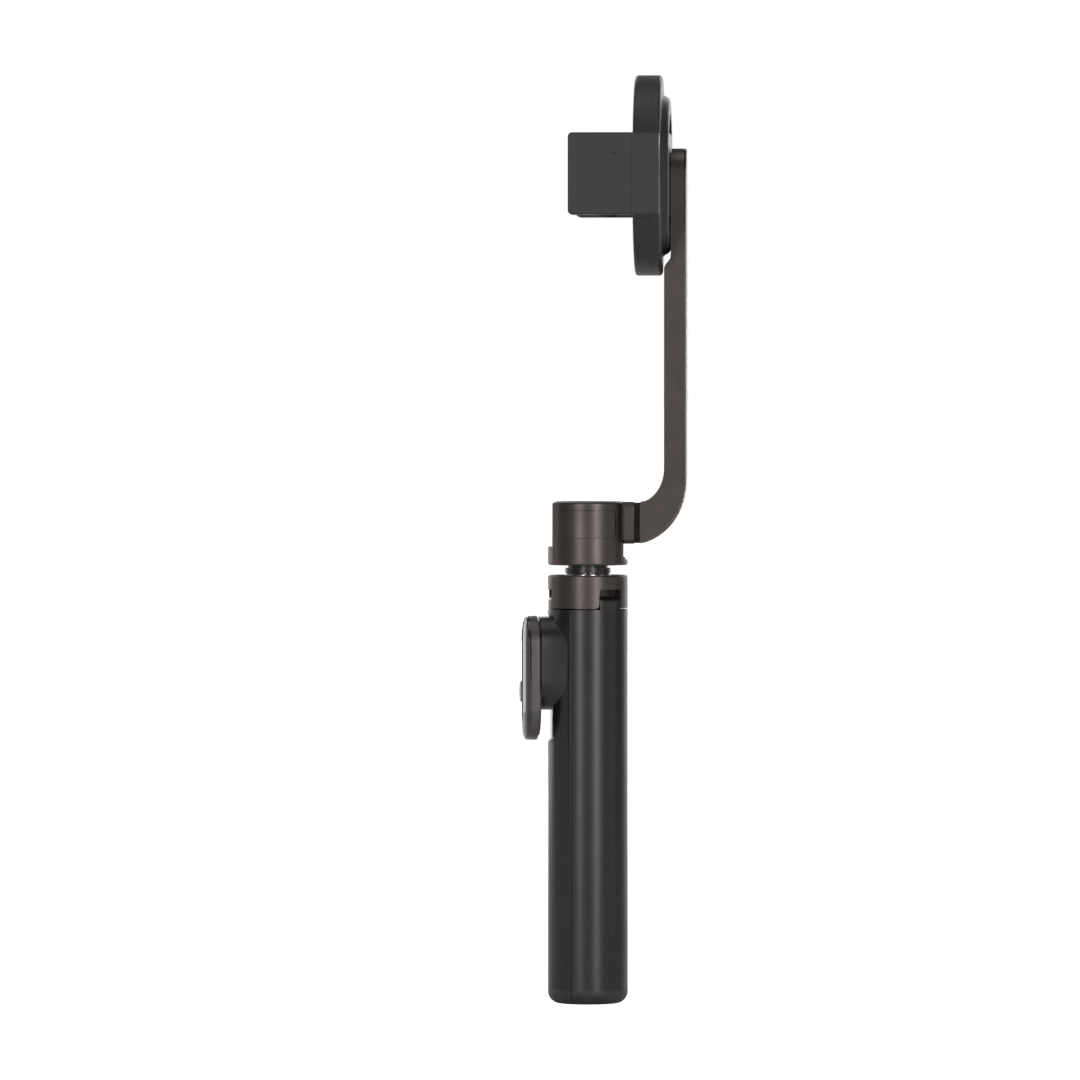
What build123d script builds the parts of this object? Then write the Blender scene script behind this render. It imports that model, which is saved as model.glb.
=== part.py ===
"""Hand-held one-axis phone stabilizer on a telescopic pole.

Three legs close round the pole and make the handle, and they open as a tripod. A clevis head on top of the
pole carries a bent arm on a tilt hinge. The arm's top end holds a flat motor that rolls a ring-shaped phone
holder, whose two jaws are kept central by a pair of racks on one pinion.

Millimetres. +Z runs up the handle's axis, the holder's face looks along -X, and the origin is the centre of
the closed feet's flat end.
"""

from build123d import *

import os
from math import acos, atan, cos, degrees, pi, radians, sin, sqrt, tan

os.makedirs("parts", exist_ok=True)

# ---- driving dimensions --------------------------------------------------------------------------
HANDLE_R = 15.0
HANDLE_TURN = 8.0
GAP = 0.15
FIT = 0.02

FOOT_H = 5.4
FOOT_EDGE = 4.4
LEG_TOP = 147.8
LEG_INNER_R = 9.3
LEG_SKIN = 1.8
LEG_HALF_GAP = 0.12
LEG_ANGLES = (HANDLE_TURN - 180.0, HANDLE_TURN - 60.0, HANDLE_TURN + 60.0)
LEG_NAMES = ("remote", "near", "far")
SPLIT_ANGLE = 60.0

COLLAR_BOTTOM = 148.3
COLLAR_TOP = 160.6
NOTCH_W = 9.8
NOTCH_TOP = 155.4
NOTCH_CORNER = 1.6
HINGE_R = 12.4
HINGE_Z = 150.2
HINGE_PIN_R = 0.75
BARREL_R = 2.4

POLE_R = 7.5
POLE_STEP = 0.8
POLE_WALL = 0.5
POLE_STAGES = 5
POLE_BOTTOM = 36.0
POLE_TOP = 160.9
LIP_H = 2.4
BUSH_H = 8.0

NECK_R = 8.6
NECK_GROOVE_R = 7.5
NECK_BOTTOM = 161.3
NECK_STEP_Z = 163.3
NECK_TOP = 164.2
JOURNAL_TOP = 168.0
PAN_SCREW_R = 1.25
RETAINER_R = 6.3
RETAINER_T = 0.9
HEAD_BOTTOM = 164.4
LAST_TUBE_TOP = HEAD_BOTTOM - 1.0
HEAD_TOP = 188.1
CHEEK_X = 13.1
LEFT_SHOULDER_Z = 171.2
RIGHT_SHOULDER_Z = 167.2
SLOT_HALF = 6.0
KNUCKLE_HALF = 5.4
JOURNAL_R = 5.0
TILT_Z = 180.2
TILT_PIN_R = 3.0
TILT_BACK = 18.0
TILT_HEAD_Y = 9.3
TILT_HEAD_R = 5.0
TILT_HEAD_T = 2.3
CAP_Z = TILT_Z - 0.4
CAP_W = 21.4
CAP_H = 10.4
CAP_T = 1.5

ARM_W = 20.2
ARM_OUT_X = 37.2
ARM_IN_X = 28.8
ARM_THIN_X = 31.3
ARM_END_X = 19.8
ARM_BASE_HALF = 7.8
BEND_X = 17.2
BEND_Z = 197.0
COVER_T = 1.0
COVER_SEAM = 0.15

ROLL_Z = 310.3
RING_R = 37.5
RING_BORE_R = 23.0
RING_FRONT_X = 17.8
RING_SPLIT_X = 24.6
RING_BACK_X = 28.0
BOSS_R = 28.8
BOSS_BACK_X = 30.9
BAR_HALF_Z = 15.5
BAR_FRONT_X = 19.3
CHANNEL_HALF_Z = 13.2
CHANNEL_FRONT_X = 21.0
FACE_RING_R = 33.8
FACE_RING_T = 0.8
MOTOR_POCKET_R = 14.0
MOTOR_OPENING_R = 9.2

MODULE = 0.8
PINION_TEETH = 12
PRESSURE_ANGLE = 20.0
ADDENDUM = 0.56
DEDENDUM = 0.9
BACKLASH = 0.16
RACK_X = 21.3
RACK_T = 2.0
RACK_H = 5.4
RACK_BACK_Z = MODULE * PINION_TEETH / 2 + RACK_H
RAIL_GAP = 0.15
PINION_PIN_R = 1.2
HUB_R = 15.0
SPRING_X = 20.0
SPRING_POCKET_R = 6.2
SPRING_STEP = 0.6
SCREW_R = 0.8
SHELL_SCREW_AT = 34.3
SHELL_SCREW_HEAD_R = 1.5
SHELL_SCREW_TURNS = (45, 135, 225, 315)
ARM_SCREW_AT = 6.2

JAW_TIP_X = -5.7
JAW_BACK_X = 28.0
JAW_HALF_Z = 15.2
JAW_OUTER_Y = 47.5
JAW_INNER_Y = 38.0
LIP_INNER_Y = 29.5
LIP_TOP_X = 4.0
SLOPE_TOP_X = 9.3
PAD_T = 2.0
PAD_W = 6.6
PAD_L = 25.0

CRADLE_Z = 122.1
CRADLE_L = 46.5
CRADLE_W = 24.0
CRADLE_R = 18.6
REMOTE_BACK_R = 19.3
REMOTE_SPLIT_R = 22.9
REMOTE_CROWN = 2.6
SHUTTER_Z = 117.0
SHUTTER_R = 4.0
CELL_R = 8.0
CELL_T = 1.2


def save(piece, label):
    """Labels a finished piece and writes its STEP file."""
    piece.part.label = label
    export_step(piece.part, f"parts/{label}.step")


def outward(angle):
    """The unit vector from the handle's axis towards a leg."""
    return (cos(radians(angle)), sin(radians(angle)), 0)


def plan_plane(angle, z=0.0):
    """A level plane whose local x points outward along a leg."""
    return Plane(origin=(0, 0, z), x_dir=outward(angle), z_dir=(0, 0, 1))


def side_plane(angle):
    """The upright plane through the axis and a leg's middle: local x outward, local y up."""
    x, y, _ = outward(angle)
    return Plane(origin=(0, 0, 0), x_dir=(x, y, 0), z_dir=(y, -x, 0))


def front_plane(angle, distance):
    """The upright plane that faces outward along a leg, at a distance from the axis."""
    x, y, _ = outward(angle)
    return Plane(origin=(x * distance, y * distance, 0), x_dir=(-y, x, 0), z_dir=(x, y, 0))


def wedge(margin, mode):
    """A third of the plane about local +x, kept back from the two splitting planes by a margin."""
    apex = margin / sin(radians(SPLIT_ANGLE))
    reach = 3 * HANDLE_R
    far_x = apex + reach * cos(radians(SPLIT_ANGLE))
    far_y = reach * sin(radians(SPLIT_ANGLE))
    Polygon((apex, 0), (far_x, -far_y), (far_x, far_y), align=None, mode=mode)


# ---- tripod hub: the collar that carries the legs ------------------------------------------------
with BuildPart() as hub_collar:
    with BuildSketch(Plane.XY.offset(COLLAR_BOTTOM)):
        Circle(HANDLE_R)
        Circle(POLE_R, mode=Mode.SUBTRACT)
    extrude(amount=COLLAR_TOP - COLLAR_BOTTOM)
    chamfer(hub_collar.edges().group_by(Axis.Z)[-1].sort_by(SortBy.LENGTH)[-1], 0.4)
    for leg_angle in LEG_ANGLES:
        with BuildSketch(front_plane(leg_angle, HINGE_R - BARREL_R - 0.3)):
            with Locations((0, (COLLAR_BOTTOM + NOTCH_TOP) / 2)):
                Rectangle(NOTCH_W, NOTCH_TOP - COLLAR_BOTTOM)
            for hand in (-1, 1):
                corner_y = hand * (NOTCH_W / 2 + NOTCH_CORNER / 2)
                with Locations((corner_y, COLLAR_BOTTOM + NOTCH_CORNER / 2)):
                    Rectangle(NOTCH_CORNER, NOTCH_CORNER)
                with Locations((hand * (NOTCH_W / 2 + NOTCH_CORNER), COLLAR_BOTTOM + NOTCH_CORNER)):
                    Circle(NOTCH_CORNER, mode=Mode.SUBTRACT)
        extrude(amount=HANDLE_R, mode=Mode.SUBTRACT)
        with BuildSketch(side_plane(leg_angle)):
            with Locations((HINGE_R, HINGE_Z)):
                Circle(HINGE_PIN_R)
        extrude(amount=6.2, both=True, mode=Mode.SUBTRACT)
save(hub_collar, "hub_collar")

with BuildPart() as leg_hinge_pins:
    for leg_angle in LEG_ANGLES:
        with BuildSketch(side_plane(leg_angle)):
            with Locations((HINGE_R, HINGE_Z)):
                Circle(HINGE_PIN_R)
        extrude(amount=6.2, both=True)
save(leg_hinge_pins, "leg_hinge_pins")

with BuildPart() as pole_mouth_ring:
    with BuildSketch(Plane.XY.offset(COLLAR_TOP)):
        Circle(NECK_R)
        Circle(POLE_R, mode=Mode.SUBTRACT)
    extrude(amount=0.5)
    chamfer(pole_mouth_ring.edges().group_by(Axis.Z)[-1].sort_by(SortBy.LENGTH)[-1], 0.25)
save(pole_mouth_ring, "pole_mouth_ring")

# ---- legs: a C-section with cross ribs, a tongue for the hinge, and a rubber foot ----------------
RIB_PITCH = 24.0
for leg_name, leg_angle in zip(LEG_NAMES, LEG_ANGLES):
    leg_plane = plan_plane(leg_angle, FOOT_H)
    with BuildPart() as leg:
        with BuildSketch(leg_plane):
            Circle(HANDLE_R)
            Circle(LEG_INNER_R, mode=Mode.SUBTRACT)
            wedge(LEG_HALF_GAP, Mode.INTERSECT)
        extrude(amount=LEG_TOP - FOOT_H)
        with BuildSketch(leg_plane):
            Circle(HANDLE_R - LEG_SKIN)
            Circle(LEG_INNER_R - 1, mode=Mode.SUBTRACT)
            wedge(LEG_HALF_GAP + 1.4, Mode.INTERSECT)
        extrude(amount=LEG_TOP - FOOT_H - 7.0, mode=Mode.SUBTRACT)
        for rib in range(1, 6):
            with BuildSketch(plan_plane(leg_angle, FOOT_H + RIB_PITCH * rib)):
                Circle(HANDLE_R - LEG_SKIN + 0.1)
                Circle(LEG_INNER_R, mode=Mode.SUBTRACT)
                wedge(LEG_HALF_GAP + 1.0, Mode.INTERSECT)
            extrude(amount=1.4)
        with BuildSketch(side_plane(leg_angle)):
            with Locations((HINGE_R, HINGE_Z)):
                Circle(BARREL_R)
            with Locations((HINGE_R, (LEG_TOP + HINGE_Z) / 2)):
                Rectangle(2 * BARREL_R, HINGE_Z - LEG_TOP)
        extrude(amount=NOTCH_W / 2 - 0.2, both=True)
        with BuildSketch(Plane.XY):
            Circle(HANDLE_R)
        extrude(amount=HEAD_TOP, mode=Mode.INTERSECT)
        if leg_name == "remote":
            with BuildSketch(front_plane(leg_angle, CRADLE_R)):
                with Locations((0, CRADLE_Z)):
                    SlotOverall(CRADLE_L, CRADLE_W, rotation=90)
            extrude(amount=-(CRADLE_R - 13.6), taper=-8)
        with BuildSketch(side_plane(leg_angle)):
            with Locations((HINGE_R, HINGE_Z)):
                Circle(HINGE_PIN_R + FIT)
        extrude(amount=8, both=True, mode=Mode.SUBTRACT)
    save(leg, f"leg_{leg_name}")
    with BuildPart() as foot:
        with BuildSketch(Plane.XZ):
            with BuildLine():
                bottom = Line((6, 0), (HANDLE_R - FOOT_EDGE, 0))
                edge = JernArc(bottom @ 1, bottom % 1, FOOT_EDGE, 90)
                wall = Line(edge @ 1, (HANDLE_R, FOOT_H))
                Polyline(wall @ 1, (6, FOOT_H), bottom @ 0)
            make_face()
        revolve(axis=Axis.Z)
        with BuildSketch(plan_plane(leg_angle)):
            Circle(HANDLE_R + 1)
            wedge(LEG_HALF_GAP, Mode.INTERSECT)
        extrude(amount=FOOT_H, mode=Mode.INTERSECT)
        with BuildSketch(leg_plane):
            Circle(HANDLE_R - LEG_SKIN)
            Circle(LEG_INNER_R + 0.4, mode=Mode.SUBTRACT)
            wedge(LEG_HALF_GAP + 1.4, Mode.INTERSECT)
        extrude(amount=4.0)
    save(foot, f"foot_{leg_name}")

# ---- remote control: cradle plate, back shell, domed face, board, coin cell and shutter button ----
REMOTE_ANGLE = LEG_ANGLES[0]


def remote_sketch(distance, inset):
    """The remote's stadium outline on a plane at a distance from the handle's axis."""
    with BuildSketch(front_plane(REMOTE_ANGLE, distance)) as outline:
        with Locations((0, CRADLE_Z)):
            SlotOverall(CRADLE_L - 2 * inset, CRADLE_W - 2 * inset, rotation=90)
    return outline.sketch


with BuildPart() as remote_cradle:
    extrude(remote_sketch(CRADLE_R, 1.6), amount=REMOTE_BACK_R - CRADLE_R - GAP)
save(remote_cradle, "remote_cradle")

with BuildPart() as remote_back:
    extrude(remote_sketch(REMOTE_BACK_R, 0), amount=REMOTE_SPLIT_R - 0.5 - REMOTE_BACK_R)
    extrude(remote_sketch(REMOTE_BACK_R + 1.0, 1.2), amount=HANDLE_R, mode=Mode.SUBTRACT)
save(remote_back, "remote_back")


def crown_half(half_span):
    """The arc that rises by the crown over a span, as a closed shape above the split line."""
    base = REMOTE_SPLIT_R
    with BuildLine() as outline:
        ThreePointArc((base, -half_span), (base + REMOTE_CROWN, 0), (base, half_span))
        Line((base, half_span), (base, -half_span))
    return outline


with BuildPart() as remote_face:
    extrude(remote_sketch(REMOTE_SPLIT_R, 0), amount=REMOTE_CROWN)
    with BuildSketch(side_plane(REMOTE_ANGLE)) as end_to_end:
        with Locations((0, CRADLE_Z)):
            add(make_face(crown_half(CRADLE_L / 2).edges(), mode=Mode.PRIVATE))
    extrude(amount=CRADLE_W, both=True, mode=Mode.INTERSECT)
    with BuildSketch(plan_plane(REMOTE_ANGLE)) as side_to_side:
        add(make_face(crown_half(CRADLE_W / 2).edges(), mode=Mode.PRIVATE))
    extrude(amount=HEAD_TOP, mode=Mode.INTERSECT)
    extrude(remote_sketch(REMOTE_SPLIT_R - 0.5, 0), amount=0.51)
    extrude(remote_sketch(REMOTE_SPLIT_R - 0.5, 6.0), amount=1.2, mode=Mode.SUBTRACT)
    with BuildSketch(front_plane(REMOTE_ANGLE, REMOTE_SPLIT_R - 1)):
        with Locations((0, SHUTTER_Z)):
            Circle(SHUTTER_R + GAP)
    extrude(amount=6, mode=Mode.SUBTRACT)
save(remote_face, "remote_face")

with BuildPart() as remote_board:
    extrude(remote_sketch(REMOTE_SPLIT_R - 1.1, 1.4), amount=0.5)
save(remote_board, "remote_board")

with BuildPart() as remote_cell:
    with BuildSketch(front_plane(REMOTE_ANGLE, REMOTE_BACK_R + 1.05)):
        with Locations((0, CRADLE_Z - CELL_R - 1)):
            Circle(CELL_R)
    extrude(amount=CELL_T)
save(remote_cell, "remote_cell")

with BuildPart() as shutter_button:
    with BuildSketch(front_plane(REMOTE_ANGLE, REMOTE_SPLIT_R - 0.1)):
        with Locations((0, SHUTTER_Z)):
            Circle(SHUTTER_R + 0.9)
    extrude(amount=0.7)
    with BuildSketch(front_plane(REMOTE_ANGLE, REMOTE_SPLIT_R - 0.1)):
        with Locations((0, SHUTTER_Z)):
            Circle(SHUTTER_R)
    extrude(amount=REMOTE_CROWN + 0.1)
    fillet(shutter_button.edges().filter_by(GeomType.CIRCLE).sort_by(
        Axis(origin=(0, 0, 0), direction=outward(REMOTE_ANGLE)))[-1], 0.3)
save(shutter_button, "shutter_button")


# ---- telescopic pole: each tube has a lip at its mouth and a friction bush at its foot -----------
def tube_r(stage):
    """Outer radius of a pole stage, counted from 1 at the handle."""
    return POLE_R - POLE_STEP * (stage - 1)


for stage in range(1, POLE_STAGES + 1):
    last = stage == POLE_STAGES
    tube_bottom = POLE_BOTTOM + 2.0 * stage
    tube_top = LAST_TUBE_TOP if last else POLE_TOP + 0.05 * (stage - 1)
    with BuildPart() as tube:
        with BuildSketch(Plane.XY.offset(tube_bottom)):
            Circle(tube_r(stage))
            Circle(tube_r(stage) - POLE_WALL, mode=Mode.SUBTRACT)
        extrude(amount=tube_top - tube_bottom)
        if not last:
            with BuildSketch(Plane.XY.offset(tube_top - LIP_H)):
                Circle(tube_r(stage) - POLE_WALL / 2)
                Circle(tube_r(stage + 1) + 0.06, mode=Mode.SUBTRACT)
            extrude(amount=LIP_H)
    save(tube, f"pole_tube_{stage}")
    if stage > 1:
        with BuildPart() as bush:
            with BuildSketch(Plane.XY.offset(tube_bottom)):
                Circle(tube_r(stage - 1) - POLE_WALL - 0.05)
                Circle(tube_r(stage), mode=Mode.SUBTRACT)
            extrude(amount=BUSH_H)
        save(bush, f"pole_bush_{stage}")

with BuildPart() as pole_end_plug:
    with BuildSketch(Plane.XY.offset(POLE_BOTTOM)):
        Circle(POLE_R)
    extrude(amount=2.0)
    fillet(pole_end_plug.edges().group_by(Axis.Z)[0], 0.8)
save(pole_end_plug, "pole_end_plug")

# ---- neck: the socket crimped on the top tube, whose journal the head turns on -------------------
with BuildPart() as neck_socket:
    with BuildSketch(Plane.XZ):
        with BuildLine():
            Polyline(
                (tube_r(POLE_STAGES), NECK_BOTTOM), (NECK_R - 0.2, NECK_BOTTOM), (NECK_R, NECK_BOTTOM + 0.2),
                (NECK_R, NECK_STEP_Z), (NECK_GROOVE_R, NECK_STEP_Z), (NECK_GROOVE_R, NECK_TOP),
                (JOURNAL_R, NECK_TOP), (JOURNAL_R, JOURNAL_TOP), (0, JOURNAL_TOP), (0, LAST_TUBE_TOP),
                (tube_r(POLE_STAGES), LAST_TUBE_TOP),
                close=True,
            )
        make_face()
    revolve(axis=Axis.Z)
    with BuildSketch(Plane.XY.offset(JOURNAL_TOP)):
        Circle(PAN_SCREW_R)
    extrude(amount=-3.2, mode=Mode.SUBTRACT)
save(neck_socket, "neck_socket")

with BuildPart() as pan_retainer:
    with BuildSketch(Plane.XY.offset(JOURNAL_TOP)):
        Circle(RETAINER_R)
        Circle(PAN_SCREW_R, mode=Mode.SUBTRACT)
    extrude(amount=RETAINER_T)
save(pan_retainer, "pan_retainer")

with BuildPart() as pan_screw:
    with BuildSketch(Plane.XY.offset(JOURNAL_TOP - 3.2)):
        Circle(PAN_SCREW_R)
    extrude(amount=3.2 + RETAINER_T)
    with BuildSketch(Plane.XY.offset(JOURNAL_TOP + RETAINER_T)):
        Circle(2.6)
    extrude(amount=0.9)
    with BuildSketch(Plane.XY.offset(JOURNAL_TOP + RETAINER_T + 0.9)):
        RegularPolygon(radius=1.2, side_count=6)
    extrude(amount=-0.6, mode=Mode.SUBTRACT)
save(pan_screw, "pan_screw")

# ---- head: a clevis turned from one cylinder, cut away where the arm swings past -----------------
with BuildPart() as head_clevis:
    with BuildSketch(Plane.XY.offset(HEAD_BOTTOM)):
        Circle(HANDLE_R)
    extrude(amount=HEAD_TOP - HEAD_BOTTOM)
    fillet(head_clevis.edges().group_by(Axis.Z)[0], 0.8)
    with BuildSketch(Plane.XZ):
        with Locations((-CHEEK_X - 5, LEFT_SHOULDER_Z + 15)):
            Rectangle(10, 30)
        with Locations((CHEEK_X + 5, RIGHT_SHOULDER_Z + 15)):
            Rectangle(10, 30)
    extrude(amount=2 * HANDLE_R, both=True, mode=Mode.SUBTRACT)
    fillet(head_clevis.edges().group_by(Axis.Z)[-1], 1.0)
    with BuildSketch(Plane.XZ):
        floor_z = TILT_Z - ARM_BASE_HALF - 0.4
        slope_start = -2.4
        slope_end = HANDLE_R + 1
        drop = (slope_end - slope_start) * tan(radians(TILT_BACK + 0.5))
        Polygon(
            (-slope_end, floor_z), (slope_start, floor_z), (slope_end, floor_z - drop),
            (slope_end, HEAD_TOP + 1), (-slope_end, HEAD_TOP + 1), align=None,
        )
    extrude(amount=SLOT_HALF, both=True, mode=Mode.SUBTRACT)
    with BuildSketch(Plane.XY.offset(HEAD_BOTTOM)):
        Circle(JOURNAL_R + 0.05)
    extrude(amount=JOURNAL_TOP - HEAD_BOTTOM, mode=Mode.SUBTRACT)
    with BuildSketch(Plane.XY.offset(JOURNAL_TOP - 0.2)):
        Circle(RETAINER_R + 2 * GAP)
    extrude(amount=5, mode=Mode.SUBTRACT)
    with BuildSketch(Plane.XZ):
        with Locations((0, TILT_Z)):
            Circle(TILT_PIN_R)
    extrude(amount=HANDLE_R, both=True, mode=Mode.SUBTRACT)
    for side in (-1, 1):
        with BuildSketch(Plane.XZ.offset(TILT_HEAD_Y * side)):
            with Locations((0, TILT_Z)):
                Circle(TILT_HEAD_R + 0.1)
        extrude(amount=8 * side, mode=Mode.SUBTRACT)
        with BuildPart(mode=Mode.PRIVATE) as cap_recess:
            with BuildSketch(Plane.XZ):
                with Locations((0, CAP_Z)):
                    RectangleRounded(CAP_W + 2 * GAP, CAP_H + 2 * GAP, 1.7)
            extrude(amount=(HANDLE_R + 1) * side)
            Cylinder(HANDLE_R - CAP_T, 600, mode=Mode.SUBTRACT)
        add(cap_recess.part, mode=Mode.SUBTRACT)
save(head_clevis, "head_clevis")

for name, side in (("hinge_cap_near", 1), ("hinge_cap_far", -1)):
    with BuildPart() as hinge_cap:
        with BuildSketch(Plane.XZ):
            with Locations((0, CAP_Z)):
                RectangleRounded(CAP_W, CAP_H, 1.6)
        extrude(amount=(HANDLE_R + 1) * side)
        Cylinder(HANDLE_R, 600, mode=Mode.INTERSECT)
        Cylinder(HANDLE_R - CAP_T, 600, mode=Mode.SUBTRACT)
    save(hinge_cap, name)

with BuildPart() as tilt_pin:
    with BuildSketch(Plane.XZ.offset(TILT_HEAD_Y)):
        with Locations((0, TILT_Z)):
            Circle(TILT_HEAD_R)
    extrude(amount=TILT_HEAD_T)
    with BuildSketch(Plane.XZ.offset(TILT_HEAD_Y)):
        with Locations((0, TILT_Z)):
            Circle(TILT_PIN_R)
    extrude(amount=-2 * TILT_HEAD_Y - TILT_HEAD_T + 0.1)
    with BuildSketch(Plane.XZ.offset(TILT_HEAD_Y + TILT_HEAD_T)):
        with Locations((0, TILT_Z)):
            RegularPolygon(radius=2.2, side_count=6)
    extrude(amount=-1.4, mode=Mode.SUBTRACT)
save(tilt_pin, "tilt_pin")

with BuildPart() as tilt_nut:
    with BuildSketch(Plane.XZ.offset(-TILT_HEAD_Y)):
        with Locations((0, TILT_Z)):
            RegularPolygon(radius=4.9, side_count=6)
            Circle(TILT_PIN_R, mode=Mode.SUBTRACT)
    extrude(amount=-2.2)
save(tilt_nut, "tilt_nut")

with BuildPart() as tilt_washers:
    for side in (-1, 1):
        with BuildSketch(Plane.XZ.offset((KNUCKLE_HALF + 0.1) * side)):
            with Locations((0, TILT_Z)):
                Circle(6.4)
                Circle(TILT_PIN_R, mode=Mode.SUBTRACT)
        extrude(amount=0.5 * side)
save(tilt_washers, "tilt_washers")

# ---- arm: knuckle on the tilt pin, bent hollow arm, and the cover along its outer side -----------
with BuildPart() as arm_knuckle:
    with BuildSketch(Plane.XZ):
        with Locations((0, TILT_Z)):
            Circle(ARM_BASE_HALF)
        with Locations((8.7, TILT_Z)):
            Rectangle(17.4, 2 * ARM_BASE_HALF)
    extrude(amount=KNUCKLE_HALF, both=True)
    chamfer(arm_knuckle.edges().filter_by(Axis.X), 1.6)
    with BuildSketch(Plane.XZ):
        with Locations((18.6, TILT_Z)):
            Rectangle(2.4, 13.4)
    extrude(amount=4.9, both=True)
    with BuildSketch(Plane.XZ):
        with Locations((0, TILT_Z)):
            Circle(TILT_PIN_R + 0.05)
    extrude(amount=6, both=True, mode=Mode.SUBTRACT)
save(arm_knuckle, "arm_knuckle")


def arm_outer_path(inset):
    """The arm's outer side moved inward by an inset: the base's bend and the straight run to the top end."""
    across = ARM_OUT_X - BEND_X - inset
    up = BEND_Z - (TILT_Z - ARM_BASE_HALF) - inset
    start = -degrees(acos((ARM_END_X - BEND_X) / across))
    bend = EllipticalCenterArc((BEND_X, BEND_Z), across, up, start, arc_size=-start)
    run = Line(bend @ 1, (ARM_OUT_X - inset, ROLL_Z + ARM_W / 2 + 1))
    return bend, run


def arm_band(inset_near, inset_far):
    """The strip of the arm's side view between two insets from its outer side."""
    with BuildSketch(Plane.XZ) as band:
        with BuildLine():
            bend_a, run_a = arm_outer_path(inset_near)
            bend_b, run_b = arm_outer_path(inset_far)
            Line(run_a @ 1, run_b @ 1)
            Line(bend_a @ 0, bend_b @ 0)
        make_face()
    return band.sketch


def round_the_top():
    """Cuts the arm's top end to a half circle about the roll axis."""
    with BuildSketch(Plane.YZ) as front_view:
        with Locations((0, ROLL_Z)):
            Circle(ARM_W / 2)
        with Locations((0, ROLL_Z - 75)):
            Rectangle(ARM_W, 150)
    extrude(front_view.sketch, amount=60, mode=Mode.INTERSECT)


WALL_INNER_Y = ARM_W / 2 - 2.8
POWER_X = 32.8
POWER_Z = 265.0
SOCKET_X = 34.3
SOCKET_Z = 283.0
with BuildPart() as arm_frame:
    with BuildSketch(Plane.XZ):
        with BuildLine():
            outer_bend, outer_run = arm_outer_path(0)
            inner_top = Line(outer_run @ 1, (ARM_THIN_X, ROLL_Z + ARM_W / 2 + 1))
            thin_run = Line(inner_top @ 1, (ARM_THIN_X, 280.5))
            step = Spline((ARM_THIN_X, 280.5), (ARM_IN_X, 275.0), tangents=((0, -1), (0, -1)))
            inner_run = Line(step @ 1, (ARM_IN_X, 200.8))
            inner_bend = EllipticalCenterArc((18.8, 200.8), ARM_IN_X - 18.8, 12.8, -84, arc_size=84)
            Line(inner_run @ 1, inner_bend @ 1)
            Line(inner_bend @ 0, outer_bend @ 0)
        make_face()
    extrude(amount=ARM_W / 2, both=True)
    round_the_top()
    extrude(arm_band(0, COVER_T), amount=ARM_W, both=True, mode=Mode.SUBTRACT)
    with BuildSketch(Plane.XZ):
        Polygon(
            (ARM_IN_X + 1.4, 204), (ARM_OUT_X, 204), (ARM_OUT_X, ROLL_Z + 7), (ARM_THIN_X + 1.2, ROLL_Z + 7),
            (ARM_THIN_X + 1.2, 276), (ARM_IN_X + 1.4, 273), align=None,
        )
    extrude(amount=WALL_INNER_Y, both=True, mode=Mode.SUBTRACT)
    with BuildSketch(Plane.YZ.offset(ARM_THIN_X - 1)):
        with Locations((0, ROLL_Z)):
            Circle(4.2)
            with PolarLocations(ARM_SCREW_AT, 3, start_angle=30):
                Circle(SCREW_R)
    extrude(amount=4, mode=Mode.SUBTRACT)
    with BuildSketch(Plane.XZ.offset(-ARM_W / 2)):
        with Locations((POWER_X, POWER_Z)):
            Circle(2.0 + GAP)
        with Locations((SOCKET_X, SOCKET_Z)):
            SlotOverall(9.0, 3.2, rotation=90)
    extrude(amount=4, mode=Mode.SUBTRACT)
    with BuildSketch(Plane.XZ.offset(-WALL_INNER_Y - 1.0)):
        with Locations((POWER_X, POWER_Z)):
            Circle(2.6 + GAP)
    extrude(amount=2, mode=Mode.SUBTRACT)
save(arm_frame, "arm_frame")

with BuildPart() as arm_cover:
    extrude(arm_band(0, COVER_T), amount=ARM_W / 2, both=True)
    round_the_top()
save(arm_cover, "arm_cover")

with BuildPart() as battery:
    with BuildSketch(Plane.XY.offset(208)):
        with Locations(((ARM_IN_X + 1.6 + ARM_OUT_X - COVER_T - 0.3) / 2, 0)):
            RectangleRounded(5.2, 13, 1.2)
    extrude(amount=42)
save(battery, "battery")

with BuildPart() as control_board:
    with BuildSketch(Plane.XY.offset(254)):
        with Locations((34.6, 0)):
            Rectangle(1.0, 13.4)
    extrude(amount=20)
    with BuildSketch(Plane.YZ.offset(34.1)):
        with Locations((0, 258.5), (0, 268)):
            Rectangle(6, 6)
    extrude(amount=-0.9)
save(control_board, "control_board")

with BuildPart() as power_button:
    with BuildSketch(Plane.XZ.offset(-WALL_INNER_Y + 0.1)):
        with Locations((POWER_X, POWER_Z)):
            Circle(2.6)
    extrude(amount=-0.7)
    with BuildSketch(Plane.XZ.offset(-WALL_INNER_Y)):
        with Locations((POWER_X, POWER_Z)):
            Circle(2.0)
    extrude(amount=-3.1)
save(power_button, "power_button")

with BuildPart() as usb_port:
    with BuildSketch(Plane.XZ.offset(-ARM_W / 2 + 0.2)):
        with Locations((SOCKET_X, SOCKET_Z)):
            SlotOverall(9.0, 3.2, rotation=90)
            SlotOverall(8.3, 2.5, rotation=90, mode=Mode.SUBTRACT)
    extrude(amount=6.5)
    with BuildSketch(Plane.XZ.offset(-ARM_W / 2 + 1.2)):
        with Locations((SOCKET_X, SOCKET_Z)):
            Rectangle(0.7, 6.6)
    extrude(amount=5.5)
    with BuildSketch(Plane.XZ.offset(-ARM_W / 2 + 5.7)):
        with Locations((SOCKET_X, SOCKET_Z)):
            SlotOverall(9.0, 3.2, rotation=90)
    extrude(amount=1.0)
save(usb_port, "usb_port")

# ---- roll motor: stator and bearing on the arm, rotor and shaft on the holder --------------------
ROLL_AXIS = Axis((0, 0, ROLL_Z), (1, 0, 0))


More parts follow.
